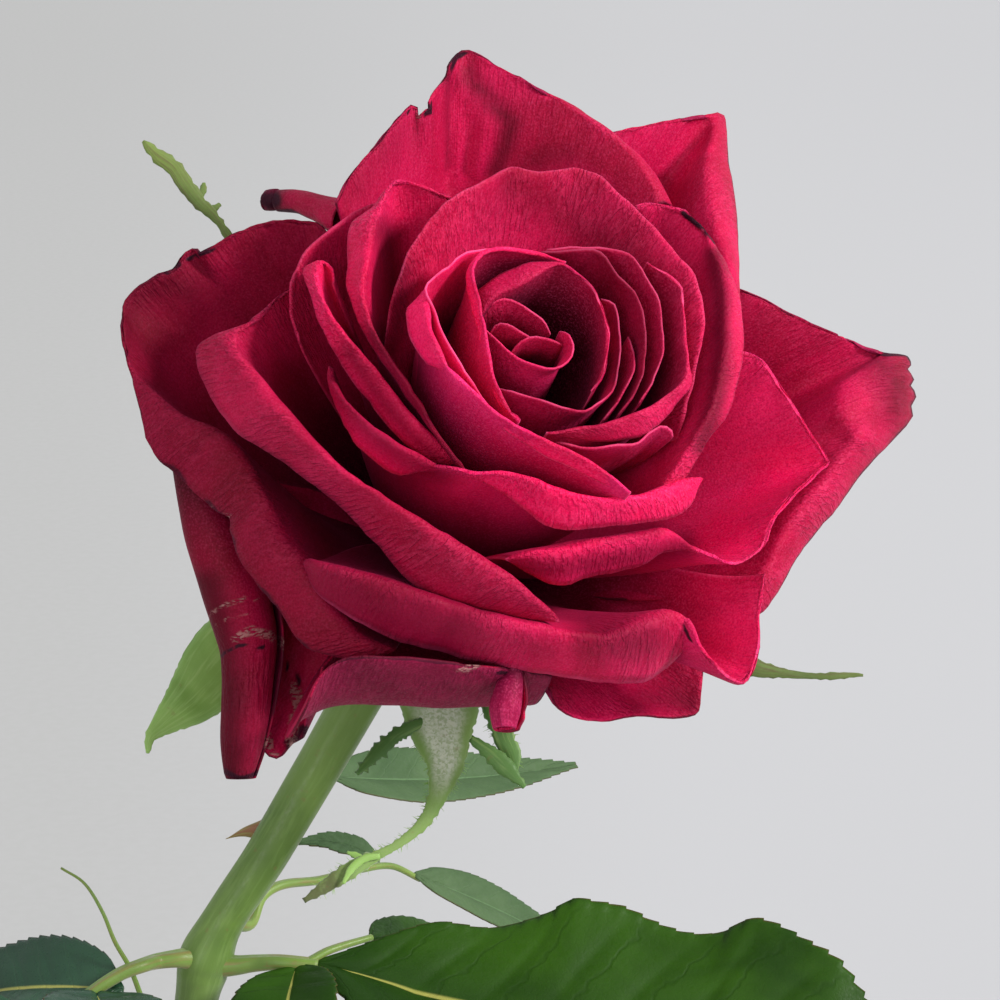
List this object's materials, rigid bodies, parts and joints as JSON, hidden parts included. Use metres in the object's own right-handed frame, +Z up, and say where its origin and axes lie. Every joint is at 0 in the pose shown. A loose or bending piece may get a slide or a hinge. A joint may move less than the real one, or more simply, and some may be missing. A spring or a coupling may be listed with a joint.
{
  "type": "rose in a bud vase",
  "caption": "Fully open red rose with a nodding bloom, fringed sepals and toothed leaves, standing in water in a plain glazed bud vase.",
  "frame": {"origin": "centre of the bud vase's flat foot, on the surface it stands on", "axes": "+Z up along the vase's axis; the bloom nods forwards towards -Y and leans towards +X"},
  "size_m": [0.1533, 0.1219, 0.3264],
  "materials": {
    "vase_glaze": "satin",
    "vase_water": "gloss",
    "rose_stem": "satin",
    "rose_calyx": "matte",
    "rose_petal": "satin",
    "rose_leaf_right": "satin",
    "rose_leaf_left": "satin",
    "rose_leaf_back": "matte"
  },
  "bodies": {
    "root": {"vase": "vase_glaze", "water": "vase_water", "stem": "rose_stem", "calyx": "rose_calyx", "bloom": "rose_petal", "leaf_right": "rose_leaf_right", "leaf_left": "rose_leaf_left", "leaf_back": "rose_leaf_back"}
  },
  "joints": []
}
